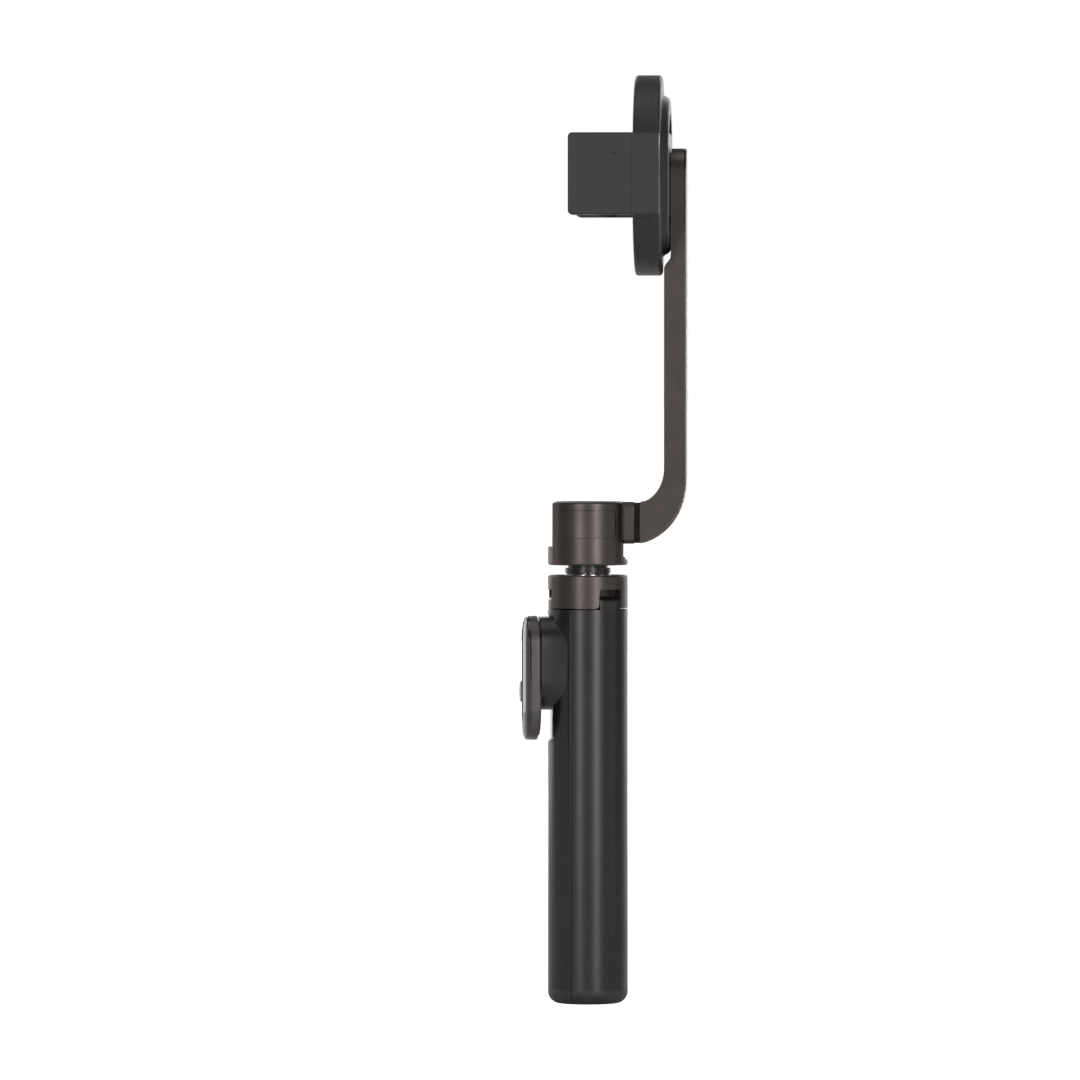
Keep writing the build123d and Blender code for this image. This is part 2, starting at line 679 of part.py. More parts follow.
def disc(x_from, x_to, outer_r, inner_r=0.0, mode=Mode.ADD):
    """A disc or ring about the roll axis between two places along it."""
    with BuildSketch(Plane.YZ.offset(x_from)) as face:
        with Locations((0, ROLL_Z)):
            Circle(outer_r)
            if inner_r:
                Circle(inner_r, mode=Mode.SUBTRACT)
    extrude(face.sketch, amount=x_to - x_from, mode=mode)


def round_the_roll_axis(distance, turn):
    """The Y and Z of a place at a distance and an angle from the roll axis."""
    return (distance * cos(radians(turn)), ROLL_Z + distance * sin(radians(turn)))


STATOR_POLES = 12
with BuildPart() as motor_stator:
    disc(28.9, ARM_THIN_X, 8.6, 4.0)
    disc(26.4, 28.9, 7.4, 4.0)
    with BuildSketch(Plane.YZ.offset(ARM_THIN_X)):
        with Locations((0, ROLL_Z)):
            with PolarLocations(ARM_SCREW_AT, 3, start_angle=30):
                Circle(SCREW_R)
    extrude(amount=-2.0, mode=Mode.SUBTRACT)
    with BuildSketch(Plane.YZ.offset(26.7)):
        with Locations((0, ROLL_Z)):
            with PolarLocations(9.0, STATOR_POLES):
                Rectangle(4.4, 1.3)
            with PolarLocations(11.0, STATOR_POLES):
                Rectangle(0.8, 3.6)
    extrude(amount=1.8)
save(motor_stator, "motor_stator")

with BuildPart() as motor_bearing:
    disc(26.6, 31.2, 4.0, 2.0 + FIT)
save(motor_bearing, "motor_bearing")

with BuildPart() as motor_rotor:
    disc(RING_SPLIT_X, 25.6, 13.4, 2.0)
    disc(25.6, 29.3, 13.4, 12.2)
save(motor_rotor, "motor_rotor")

with BuildPart() as motor_shaft:
    disc(RING_SPLIT_X, 33.8, 2.0)
    disc(32.9, 33.8, 3.4)
save(motor_shaft, "motor_shaft")

# ---- holder: front housing with the clamp's channel, light face ring, back shell and gear plate ----
with BuildPart() as ring_housing:
    disc(RING_FRONT_X, RING_SPLIT_X, RING_R, RING_BORE_R)
    front_edges = ring_housing.edges().group_by(Axis.X)[0]
    fillet(front_edges.sort_by(SortBy.LENGTH)[-1], 1.2)
    with BuildSketch(Plane.YZ.offset(BAR_FRONT_X)):
        with Locations((0, ROLL_Z)):
            Circle(RING_BORE_R + 1)
            Rectangle(4 * RING_R, 2 * BAR_HALF_Z, mode=Mode.INTERSECT)
    extrude(amount=RING_SPLIT_X - BAR_FRONT_X)
    with BuildSketch(Plane.YZ.offset(CHANNEL_FRONT_X)):
        with Locations((0, ROLL_Z)):
            Rectangle(4 * RING_R, 2 * CHANNEL_HALF_Z)
    extrude(amount=RING_R, mode=Mode.SUBTRACT)
    for side in (-1, 1):
        with BuildSketch(Plane.YZ.offset(CHANNEL_FRONT_X)):
            with Locations((0, ROLL_Z + side * (RACK_BACK_Z + RAIL_GAP + 0.6))):
                Rectangle(2 * RING_BORE_R, 1.2)
        extrude(amount=RACK_T)
    disc(RING_FRONT_X, RING_FRONT_X + FACE_RING_T, FACE_RING_R, RING_BORE_R - 1, Mode.SUBTRACT)
    disc(BAR_FRONT_X - 0.5, CHANNEL_FRONT_X, HUB_R)
    disc(SPRING_X, CHANNEL_FRONT_X, SPRING_POCKET_R, 0, Mode.SUBTRACT)
    disc(BAR_FRONT_X + 0.3, CHANNEL_FRONT_X, PINION_PIN_R, 0, Mode.SUBTRACT)
    for turn in SHELL_SCREW_TURNS:
        with BuildSketch(Plane.YZ.offset(RING_SPLIT_X)):
            with Locations(round_the_roll_axis(SHELL_SCREW_AT, turn)):
                Circle(SCREW_R)
        extrude(amount=-3.6, mode=Mode.SUBTRACT)
save(ring_housing, "ring_housing")

with BuildPart() as face_ring:
    disc(RING_FRONT_X, RING_FRONT_X + FACE_RING_T, FACE_RING_R, RING_BORE_R)
save(face_ring, "face_ring")

with BuildPart() as ring_back:
    disc(RING_SPLIT_X, RING_BACK_X, RING_R)
    fillet(ring_back.edges().group_by(Axis.X)[-1], 1.2)
    with BuildSketch(Plane.XZ):
        with BuildLine():
            foot_of_step = (RING_BACK_X - 0.2, ROLL_Z + 31.2)
            top_of_step = (BOSS_BACK_X, ROLL_Z + BOSS_R - 0.8)
            s_curve = Spline(foot_of_step, top_of_step, tangents=((0.2, -1), (0.2, -1)))
            Polyline(s_curve @ 1, (BOSS_BACK_X, ROLL_Z), (RING_BACK_X - 0.2, ROLL_Z), s_curve @ 0)
        make_face()
    revolve(axis=ROLL_AXIS)
    for side in (-1, 1):
        with BuildSketch(Plane.YZ.offset(RING_SPLIT_X)):
            with Locations((0, ROLL_Z)):
                Circle(RING_BORE_R)
            with Locations((0, ROLL_Z - side * (2 * RING_R - BAR_HALF_Z))):
                Rectangle(4 * RING_R, 4 * RING_R, mode=Mode.SUBTRACT)
        extrude(amount=RING_R, mode=Mode.SUBTRACT)
    disc(RING_SPLIT_X, BOSS_BACK_X - 1.2, MOTOR_POCKET_R, 0, Mode.SUBTRACT)
    disc(RING_SPLIT_X, BOSS_BACK_X + 1, MOTOR_OPENING_R, 0, Mode.SUBTRACT)
    for turn in SHELL_SCREW_TURNS:
        with BuildSketch(Plane.YZ.offset(RING_SPLIT_X)):
            with Locations(round_the_roll_axis(SHELL_SCREW_AT, turn)):
                Circle(SCREW_R)
        extrude(amount=4, mode=Mode.SUBTRACT)
        with BuildSketch(Plane.YZ.offset(RING_BACK_X - 1.4)):
            with Locations(round_the_roll_axis(SHELL_SCREW_AT, turn)):
                Circle(SHELL_SCREW_HEAD_R)
        extrude(amount=3, mode=Mode.SUBTRACT)
save(ring_back, "ring_back")

with BuildPart() as gear_plate:
    with BuildSketch(Plane.YZ.offset(23.6)):
        with Locations((0, ROLL_Z)):
            RectangleRounded(44, 2 * CHANNEL_HALF_Z - 0.1, 2)
            Circle(PINION_PIN_R, mode=Mode.SUBTRACT)
    extrude(amount=RING_SPLIT_X - 23.6)
save(gear_plate, "gear_plate")

# ---- clamp: hooked jaws on a pair of racks that mesh with one pinion -----------------------------
PITCH_R = MODULE * PINION_TEETH / 2
BASE_R = PITCH_R * cos(radians(PRESSURE_ANGLE))
TIP_R = PITCH_R + ADDENDUM
ROOT_R = PITCH_R - DEDENDUM
TOOTH_PITCH = pi * MODULE


def flank(radius, hand):
    """A point of the involute flank of the tooth that stands on local +x, thinned by the backlash."""
    rolled = sqrt((radius / BASE_R) ** 2 - 1)
    at_pitch = sqrt((PITCH_R / BASE_R) ** 2 - 1)
    half_at_pitch = (TOOTH_PITCH - BACKLASH) / 4 / PITCH_R
    turned = half_at_pitch + (at_pitch - atan(at_pitch)) - (rolled - atan(rolled))
    return (radius * cos(turned), hand * radius * sin(turned))


with BuildPart() as clamp_pinion:
    disc(RACK_X, RACK_X + RACK_T, ROOT_R)
    with BuildSketch(Plane.YZ.offset(RACK_X)) as teeth:
        with Locations((0, ROLL_Z)):
            with PolarLocations(0, PINION_TEETH):
                with BuildLine(mode=Mode.PRIVATE) as tooth:
                    steps = [BASE_R + (TIP_R - BASE_R) * n / 3 for n in range(4)]
                    low = Spline(*[flank(r, -1) for r in steps])
                    high = Spline(*[flank(r, 1) for r in steps])
                    ThreePointArc(low @ 1, (TIP_R, 0), high @ 1)
                    Polyline(high @ 0, (ROOT_R - 0.3, (high @ 0).Y), (ROOT_R - 0.3, (low @ 0).Y), low @ 0)
                add(make_face(tooth.edges(), mode=Mode.PRIVATE))
    extrude(amount=RACK_T)
    disc(RACK_X, RACK_X + RACK_T, PINION_PIN_R + FIT, 0, Mode.SUBTRACT)
save(clamp_pinion, "clamp_pinion")

with BuildPart() as pinion_pin:
    disc(BAR_FRONT_X + 0.3, RING_SPLIT_X, PINION_PIN_R)
save(pinion_pin, "pinion_pin")

with BuildPart() as clamp_spring:
    with BuildSketch(Plane.YZ.offset(SPRING_X + 0.1)):
        with BuildLine() as coil:
            for half_turn in range(6):
                coil_r = 1.9 + SPRING_STEP * half_turn
                centre_y = SPRING_STEP * (half_turn % 2)
                CenterArc((centre_y, ROLL_Z), coil_r, 180 * (half_turn % 2), 180)
        trace(coil.edges(), 0.3)
    extrude(amount=0.8)
save(clamp_spring, "clamp_spring")


RACK_TEETH = 10
RACK_END_Y = 14.5


def rack_profile(side):
    """A rack whose jaw lies at side * Y; its teeth face the pinion from side * Z."""
    back = PITCH_R + RACK_H
    valley = PITCH_R + DEDENDUM
    half = (TOOTH_PITCH - BACKLASH) / 4
    tip_half = half - ADDENDUM * tan(radians(PRESSURE_ANGLE))
    root_half = half + DEDENDUM * tan(radians(PRESSURE_ANGLE))
    with BuildSketch(Plane.YZ.offset(RACK_X)) as profile:
        with Locations((side * (JAW_INNER_Y + 4 - RACK_END_Y) / 2, ROLL_Z + side * (back + valley) / 2)):
            Rectangle(JAW_INNER_Y + 4 + RACK_END_Y, back - valley)
        for n in range(RACK_TEETH):
            y = side * TOOTH_PITCH * (n - (RACK_TEETH - 1) / 2)
            Polygon(
                (y - root_half, ROLL_Z + side * valley), (y + root_half, ROLL_Z + side * valley),
                (y + tip_half, ROLL_Z + side * (PITCH_R - ADDENDUM)),
                (y - tip_half, ROLL_Z + side * (PITCH_R - ADDENDUM)), align=None,
            )
    return profile.sketch


for name, side in (("near", -1), ("far", 1)):
    with BuildPart() as carriage:
        with BuildSketch(Plane.XY.offset(ROLL_Z - JAW_HALF_Z)):
            with Locations(((RING_FRONT_X + JAW_BACK_X) / 2, side * (JAW_INNER_Y + JAW_OUTER_Y) / 2)):
                Rectangle(JAW_BACK_X - RING_FRONT_X, JAW_OUTER_Y - JAW_INNER_Y)
        extrude(amount=2 * JAW_HALF_Z)
        fillet(carriage.edges().filter_by(Axis.Y).group_by(Axis.X)[-1], 0.8)
        outer_face = carriage.faces().sort_by(Axis.Y)[0 if side < 0 else -1]
        chamfer(outer_face.edges().sort_by(Axis.X)[1:], 0.5)
        extrude(rack_profile(side), amount=RACK_T)
    save(carriage, f"jaw_{name}_rack")
    with BuildPart() as jaw:
        with BuildSketch(Plane.XY.offset(ROLL_Z - JAW_HALF_Z)):
            Polygon(
                (JAW_TIP_X, side * JAW_OUTER_Y), (JAW_TIP_X, side * LIP_INNER_Y),
                (LIP_TOP_X, side * LIP_INNER_Y), (SLOPE_TOP_X, side * JAW_INNER_Y),
                (RING_FRONT_X, side * JAW_INNER_Y), (RING_FRONT_X, side * JAW_OUTER_Y), align=None,
            )
        extrude(amount=2 * JAW_HALF_Z)
        tip_edges = jaw.edges().filter_by(Axis.Y).group_by(Axis.X)[0]
        fillet(tip_edges, 1.6)
        outer_face = jaw.faces().sort_by(Axis.Y)[0 if side < 0 else -1]
        chamfer(outer_face.edges().sort_by(Axis.X)[:-1], 0.5)
        with BuildSketch(Plane.XZ.offset(-side * JAW_INNER_Y)):
            with Locations(((SLOPE_TOP_X + RING_FRONT_X) / 2, ROLL_Z)):
                RectangleRounded(PAD_W, PAD_L, 1.2)
        extrude(amount=-side * 0.8, mode=Mode.SUBTRACT)
    save(jaw, f"jaw_{name}")
    with BuildPart() as pad:
        with BuildSketch(Plane.XZ.offset(-side * (JAW_INNER_Y + 0.8))):
            with Locations(((SLOPE_TOP_X + RING_FRONT_X) / 2, ROLL_Z)):
                RectangleRounded(PAD_W, PAD_L, 1.2)
        extrude(amount=side * (PAD_T + 0.8))
    save(pad, f"jaw_{name}_pad")

# ---- fasteners: the holder's shells and the arm's cover ------------------------------------------
with BuildPart() as holder_screws:
    for turn in SHELL_SCREW_TURNS:
        spot = round_the_roll_axis(SHELL_SCREW_AT, turn)
        with BuildSketch(Plane.YZ.offset(RING_BACK_X - 1.4)):
            with Locations(spot):
                Circle(SHELL_SCREW_HEAD_R)
        extrude(amount=1.3)
        with BuildSketch(Plane.YZ.offset(RING_BACK_X - 0.1)):
            with Locations(spot):
                RegularPolygon(radius=0.8, side_count=6)
        extrude(amount=-0.9, mode=Mode.SUBTRACT)
        with BuildSketch(Plane.YZ.offset(RING_SPLIT_X - 3.6)):
            with Locations(spot):
                Circle(SCREW_R)
        extrude(amount=RING_BACK_X - 1.4 - RING_SPLIT_X + 3.6)
save(holder_screws, "holder_screws")

with BuildPart() as arm_screws:
    with BuildSketch(Plane.YZ.offset(ARM_THIN_X + 1.2)):
        with Locations((0, ROLL_Z)):
            with PolarLocations(ARM_SCREW_AT, 3, start_angle=30):
                Circle(1.3)
    extrude(amount=0.8)
    with BuildSketch(Plane.YZ.offset(ARM_THIN_X + 1.2)):
        with Locations((0, ROLL_Z)):
            with PolarLocations(ARM_SCREW_AT, 3, start_angle=30):
                Circle(SCREW_R)
    extrude(amount=-3.2)
save(arm_screws, "arm_screws")
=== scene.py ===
from math import cos, pi, radians, sin

import bpy
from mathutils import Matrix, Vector


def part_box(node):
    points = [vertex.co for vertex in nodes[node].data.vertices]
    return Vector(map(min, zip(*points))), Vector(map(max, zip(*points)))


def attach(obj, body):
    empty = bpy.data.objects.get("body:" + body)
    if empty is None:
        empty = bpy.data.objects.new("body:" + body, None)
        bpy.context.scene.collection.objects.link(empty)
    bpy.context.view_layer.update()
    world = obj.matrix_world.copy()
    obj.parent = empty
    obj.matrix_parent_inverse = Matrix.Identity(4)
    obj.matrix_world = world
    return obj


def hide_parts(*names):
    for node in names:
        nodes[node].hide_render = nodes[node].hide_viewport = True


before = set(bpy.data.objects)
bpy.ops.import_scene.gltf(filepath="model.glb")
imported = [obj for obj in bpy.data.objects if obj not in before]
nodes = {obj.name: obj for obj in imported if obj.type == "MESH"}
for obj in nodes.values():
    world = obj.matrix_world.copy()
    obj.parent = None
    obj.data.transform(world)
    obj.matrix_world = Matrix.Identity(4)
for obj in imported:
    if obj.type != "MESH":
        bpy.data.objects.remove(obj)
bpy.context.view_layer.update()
bpy.ops.object.select_all(action="DESELECT")

# ---- tripod legs -----------------------------------------------------------------------------
# Three thirds of a tube that close into the handle. They are die-cast aluminium, bead-blasted and
# anodised black, so the skin is smooth with a very fine tooth and slightly paler where hands rub it.


def new_group(name, inputs, outputs):
    """A shader node group with float, vector or colour sockets, and its two end nodes."""
    group = bpy.data.node_groups.new(name, "ShaderNodeTree")
    for socket, kind, value in inputs:
        made = group.interface.new_socket(socket, in_out="INPUT", socket_type=kind)
        if value is not None:
            made.default_value = value
    for socket, kind in outputs:
        group.interface.new_socket(socket, in_out="OUTPUT", socket_type=kind)
    return group, group.nodes.new("NodeGroupInput"), group.nodes.new("NodeGroupOutput")


def add_node(tree, kind, settings=None, **sockets):
    """A node with its settings, and its inputs given as values or as other nodes' outputs."""
    node = tree.nodes.new(kind)
    for key, value in (settings or {}).items():
        setattr(node, key, value)
    for key, value in sockets.items():
        by_index = key[0] == "i" and key[1:].isdigit()
        socket = node.inputs[int(key[1:]) if by_index else key.replace("_", " ")]
        if isinstance(value, bpy.types.NodeSocket):
            tree.links.new(value, socket)
        else:
            socket.default_value = value
    return node


# fine tooth of a blasted or spark-eroded skin: height for the bump, mask for the gloss
tooth, t_in, t_out = new_group(
    "fine_tooth",
    [("Vector", "NodeSocketVector", None), ("Scale", "NodeSocketFloat", 5000.0),
     ("Pits", "NodeSocketFloat", 0.3)],
    [("Height", "NodeSocketFloat"), ("Mask", "NodeSocketFloat")],
)
t_noise = add_node(tooth, "ShaderNodeTexNoise", Vector=t_in.outputs["Vector"], Scale=t_in.outputs["Scale"],
                   Detail=3.0, Roughness=0.6)
t_cells = add_node(tooth, "ShaderNodeTexVoronoi", Vector=t_in.outputs["Vector"], Scale=t_in.outputs["Scale"])
t_mix = add_node(tooth, "ShaderNodeMix", i0=t_in.outputs["Pits"], i2=t_noise.outputs["Fac"],
                 i3=t_cells.outputs["Distance"])
tooth.links.new(t_mix.outputs[0], t_out.inputs["Height"])
tooth.links.new(t_noise.outputs["Fac"], t_out.inputs["Mask"])

# slow cloudy change of shade over a surface, with a few finger smears in it
clouds, c_in, c_out = new_group(
    "handled_clouds",
    [("Vector", "NodeSocketVector", None), ("Scale", "NodeSocketFloat", 60.0)],
    [("Mask", "NodeSocketFloat"), ("Smear", "NodeSocketFloat")],
)
c_noise = add_node(clouds, "ShaderNodeTexNoise", Vector=c_in.outputs["Vector"], Scale=c_in.outputs["Scale"],
                   Detail=4.0, Roughness=0.55, Distortion=0.6)
c_step = add_node(clouds, "ShaderNodeMath", {"operation": "MULTIPLY"}, i0=c_in.outputs["Scale"], i1=2.7)
c_smear = add_node(clouds, "ShaderNodeTexNoise", Vector=c_in.outputs["Vector"], Scale=c_step.outputs[0],
                   Detail=6.0, Roughness=0.7, Distortion=2.5)
c_ramp = add_node(clouds, "ShaderNodeMapRange", i0=c_smear.outputs["Fac"], i1=0.52, i2=0.72)
clouds.links.new(c_noise.outputs["Fac"], c_out.inputs["Mask"])
clouds.links.new(c_ramp.outputs[0], c_out.inputs["Smear"])

# outer edges where the finish is rubbed thin, broken up by noise
wear, w_in, w_out = new_group(
    "rubbed_edges",
    [("Vector", "NodeSocketVector", None), ("Reach", "NodeSocketFloat", 0.0004),
     ("Amount", "NodeSocketFloat", 0.5)],
    [("Mask", "NodeSocketFloat")],
)
w_bevel = add_node(wear, "ShaderNodeBevel", {"samples": 4}, Radius=w_in.outputs["Reach"])
w_geometry = add_node(wear, "ShaderNodeNewGeometry")
w_dot = add_node(wear, "ShaderNodeVectorMath", {"operation": "DOT_PRODUCT"}, i0=w_bevel.outputs[0],
                 i1=w_geometry.outputs["Normal"])
w_edge = add_node(wear, "ShaderNodeMapRange", i0=w_dot.outputs["Value"], i1=0.995, i2=0.86)
w_noise = add_node(wear, "ShaderNodeTexNoise", Vector=w_in.outputs["Vector"], Scale=900.0, Detail=5.0,
                   Roughness=0.65)
w_break = add_node(wear, "ShaderNodeMapRange", i0=w_noise.outputs["Fac"], i1=0.35, i2=0.7)
w_both = add_node(wear, "ShaderNodeMath", {"operation": "MULTIPLY"}, i0=w_edge.outputs[0],
                  i1=w_break.outputs[0])
w_all = add_node(wear, "ShaderNodeMath", {"operation": "MULTIPLY"}, i0=w_both.outputs[0],
                 i1=w_in.outputs["Amount"])
wear.links.new(w_all.outputs[0], w_out.inputs["Mask"])


def finish(name, colour, second, worn, gloss, grain=5000.0, pits=0.3, depth=0.00001, edge=0.0004,
           rub=0.5, cloud=60.0, **sockets):
    """A Principled material: two shades that drift, rubbed edges, and a fine tooth in gloss and relief."""
    material = bpy.data.materials.new(name)
    material.use_nodes = True
    tree = material.node_tree
    shader = tree.nodes["Principled BSDF"]
    where = add_node(tree, "ShaderNodeTexCoord").outputs["Object"]
    drift = add_node(tree, "ShaderNodeGroup", {"node_tree": clouds}, Vector=where, Scale=cloud)
    skin = add_node(tree, "ShaderNodeGroup", {"node_tree": tooth}, Vector=where, Scale=grain, Pits=pits)
    rubbed = add_node(tree, "ShaderNodeGroup", {"node_tree": wear}, Vector=where, Reach=edge, Amount=rub)
    spread = add_node(tree, "ShaderNodeMapRange", i0=drift.outputs["Mask"], i1=0.3, i2=0.7)
    shade = add_node(tree, "ShaderNodeMix", {"data_type": "RGBA"}, i0=spread.outputs[0], i6=(*colour, 1),
                     i7=(*second, 1))
    edged = add_node(tree, "ShaderNodeMix", {"data_type": "RGBA"}, i0=rubbed.outputs["Mask"],
                     i6=shade.outputs[2], i7=(*worn, 1))
    low, high = gloss
    gloss_base = add_node(tree, "ShaderNodeMapRange", i0=skin.outputs["Mask"], i1=0.3, i2=0.7, i3=low,
                          i4=high)
    gloss_smear = add_node(tree, "ShaderNodeMath", {"operation": "MULTIPLY_ADD", "use_clamp": True},
                           i0=drift.outputs["Smear"], i1=-0.05, i2=gloss_base.outputs[0])
    relief = add_node(tree, "ShaderNodeBump", i0=0.6, i1=depth, Height=skin.outputs["Height"])
    tree.links.new(edged.outputs[2], shader.inputs["Base Color"])
    tree.links.new(gloss_smear.outputs[0], shader.inputs["Roughness"])
    tree.links.new(relief.outputs[0], shader.inputs["Normal"])
    for socket, value in sockets.items():
        shader.inputs[socket.replace("_", " ")].default_value = value
    return material


def dress(material, *names):
    """Gives CAD nodes a material in every slot they have."""
    for name in names:
        mesh = nodes[name].data
        if not mesh.materials:
            mesh.materials.append(material)
        for index in range(len(mesh.materials)):
            mesh.materials[index] = material


leg_satin = finish(
    "leg_satin", (0.050, 0.048, 0.048), (0.058, 0.055, 0.054), (0.22, 0.205, 0.19), (0.29, 0.37),
    grain=7000.0, depth=0.000005, rub=0.35, Metallic=0.9, IOR=1.5,
)
dress(leg_satin, "leg_remote", "leg_near", "leg_far")

# ---- feet ------------------------------------------------------------------------------------
# Rubber ends pushed up into the legs and rounded below, so the opened tripod stands on soft corners
# and the closed handle ends in a smooth black cap. Moulded, with a dull skin that picks up dust.
foot_rubber = finish(
    "foot_rubber", (0.020, 0.020, 0.020), (0.030, 0.029, 0.028), (0.07, 0.068, 0.065), (0.42, 0.56),
    grain=3200.0, pits=0.5, depth=0.000012, rub=0.3, cloud=140.0, IOR=1.5,
)
dress(foot_rubber, "foot_remote", "foot_near", "foot_far")

# ---- tripod collar ---------------------------------------------------------------------------
# The turned collar that joins the pole to the legs, with a notch for each leg's tongue and a steel
# pin through each. It is aluminium, anodised a dark bronze, and its corners are broken by the tool.


MERGE_GAP = 0.000002
FLAT_ANGLE = radians(0.5)


def select_only(piece):
    """Makes one object the active and only selected one."""
    bpy.ops.object.select_all(action="DESELECT")
    bpy.context.view_layer.objects.active = piece
    piece.select_set(True)


def boolean(piece, tool, operation):
    """Joins a tool to the active piece or cuts it away. The tool itself is left in place."""
    change = piece.modifiers.new(operation.lower(), "BOOLEAN")
    change.operation = operation
    change.solver = "EXACT"
    change.object = tool
    bpy.ops.object.modifier_apply(modifier=change.name)


def place(piece, name, material, body, stands_for=None):
    """Names a finished piece, gives it its one material, and hands it to its body."""
    piece.name = name
    piece.data.materials.clear()
    piece.data.materials.append(material)
    piece.select_set(False)
    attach(piece, body)
    if stands_for:
        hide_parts(stands_for)


def merged_copy(node, name):
    """A copy of a CAD node, active and in edit mode, with its doubled vertices merged."""
    piece = bpy.data.objects.new(name, nodes[node].data.copy())
    bpy.context.scene.collection.objects.link(piece)
    select_only(piece)
    bpy.ops.mesh.customdata_custom_splitnormals_clear()
    bpy.ops.object.mode_set(mode="EDIT")
    bpy.ops.mesh.select_all(action="SELECT")
    bpy.ops.mesh.remove_doubles(threshold=MERGE_GAP)
    return piece


def eased_copy(node, radius, body, material, corner=38.0, cutters=()):
    """A copy of a CAD node with its sharp corners rounded, which stands for that node."""
    piece = merged_copy(node, node + "_eased")
    bpy.ops.mesh.dissolve_limited(angle_limit=FLAT_ANGLE)
    bpy.ops.object.mode_set(mode="OBJECT")
    for cutter in cutters:
        boolean(piece, cutter, "DIFFERENCE")
    bevel = piece.modifiers.new("broken_corners", "BEVEL")
    bevel.width = radius
    bevel.segments = 2
    bevel.limit_method = "ANGLE"
    bevel.angle_limit = radians(corner)
    bevel.miter_outer = "MITER_ARC"
    bpy.ops.object.modifier_apply(modifier=bevel.name)
    bpy.ops.object.shade_smooth_by_angle(angle=radians(corner))
    weighted = piece.modifiers.new("flat_faces", "WEIGHTED_NORMAL")
    weighted.keep_sharp = True
    weighted.weight = 100
    bpy.ops.object.modifier_apply(modifier=weighted.name)
    place(piece, node + "_eased", material, body, stands_for=node)


bronze = finish(
    "dark_bronze", (0.085, 0.071, 0.068), (0.105, 0.088, 0.083), (0.32, 0.28, 0.26), (0.32, 0.42),
    grain=6500.0, depth=0.000005, rub=0.45, Metallic=0.9, IOR=1.5,
)
eased_copy("hub_collar", 0.00015, "hub", bronze)
pin_steel = finish(
    "pin_steel", (0.30, 0.29, 0.28), (0.38, 0.37, 0.36), (0.6, 0.6, 0.6), (0.22, 0.34),
    grain=2600.0, depth=0.000004, rub=0.3, cloud=200.0, Metallic=1.0,
)
dress(pin_steel, "leg_hinge_pins")



def choose(kind, test):
    """In edit mode, selects those vertices, edges or polygons of the active mesh that pass a test."""
    bpy.ops.mesh.select_all(action="DESELECT")
    bpy.ops.object.mode_set(mode="OBJECT")
    for element in getattr(bpy.context.object.data, kind):
        element.select = test(element)
    bpy.ops.object.mode_set(mode="EDIT")


def open_disc(wall):
    """Turns the active disc into a flat ring with a wall of this width."""
    bpy.ops.object.mode_set(mode="EDIT")
    bpy.ops.mesh.select_mode(type="FACE")
    choose("polygons", lambda face: abs(face.normal.z) > 0.9)
    bpy.ops.mesh.inset(thickness=wall)
    bpy.ops.mesh.bridge_edge_loops()
    bpy.ops.object.mode_set(mode="OBJECT")


def apply_place():
    """Writes the active object's place into its mesh, so the object sits at the origin."""
    bpy.ops.object.transform_apply(location=True, rotation=True, scale=True)


# A black felt washer under the collar fills the gap over the closed legs as painted shade: it stops light
# showing through, so the gap reads as a dark line.
# It stays inside the hinge pins, where the opening legs only move away from it.
WASHER_R = 0.0119
WASHER_BORE_R = 0.00755
WASHER_Z = 0.14812
painted_shade_felt = finish(
    "painted_shade_felt", (0.008, 0.008, 0.008), (0.012, 0.012, 0.012), (0.02, 0.02, 0.02), (0.8, 0.9),
    grain=2500.0, pits=0.7, depth=0.00003, rub=0.1, cloud=300.0,
)
bpy.ops.object.select_all(action="DESELECT")
bpy.ops.mesh.primitive_cylinder_add(vertices=96, radius=WASHER_R, depth=0.0003,
                                    location=(0, 0, WASHER_Z), end_fill_type="NGON")
washer = bpy.context.object
apply_place()
open_disc(WASHER_R - WASHER_BORE_R)
bpy.ops.object.shade_smooth_by_angle(angle=radians(40))
place(washer, "collar_shade_washer", painted_shade_felt, "hub")

# ---- remote control --------------------------------------------------------------------------
# A wireless shutter remote clipped into a plate on one leg: a bronze-painted back shell, a crowned
# face of smoke-black polycarbonate, one round button, a board and a coin cell.
BOSS_TURN = radians(8.0 - 180.0)
REMOTE_Z = 0.1221
REMOTE_HALF_WIDTH = 0.012
REMOTE_HALF_RUN = 0.01125
BOSS_OUT = 0.0135
CORE_R = 0.0134
LEG_SKIN_R = 0.01503


def stretch_disc(half_run):
    """In edit mode, draws the active disc apart along X into a stadium."""
    choose("vertices", lambda vertex: vertex.co.x > 0.00001)
    bpy.ops.transform.translate(value=(half_run, 0, 0))
    bpy.ops.mesh.select_all(action="INVERT")
    bpy.ops.transform.translate(value=(-half_run, 0, 0))


def turn_out(piece, out, z):
    """Lays a piece on the remote's axis, this far out from the handle's axis and this high."""
    piece.location = (out * cos(BOSS_TURN), out * sin(BOSS_TURN), z)
    piece.rotation_euler = (0, pi / 2, BOSS_TURN)
    apply_place()


# Known fault: face selection is still on here, so the boss isn't drawn apart as meant and ends at
# z 0.1101, 11 mm short of the remote's lower end. Vertex selection before stretch_disc repairs it.
bpy.ops.mesh.primitive_cylinder_add(vertices=96, radius=REMOTE_HALF_WIDTH, depth=0.0101,
                                    end_fill_type="NGON")
boss = bpy.context.object
bpy.ops.object.mode_set(mode="EDIT")
stretch_disc(REMOTE_HALF_RUN)
bpy.ops.object.mode_set(mode="OBJECT")
turn_out(boss, BOSS_OUT, REMOTE_Z)
bpy.ops.mesh.primitive_cylinder_add(vertices=128, radius=CORE_R, depth=0.2, location=(0, 0, 0.12))
core = bpy.context.object
select_only(boss)
boolean(boss, core, "DIFFERENCE")
bpy.data.objects.remove(core)

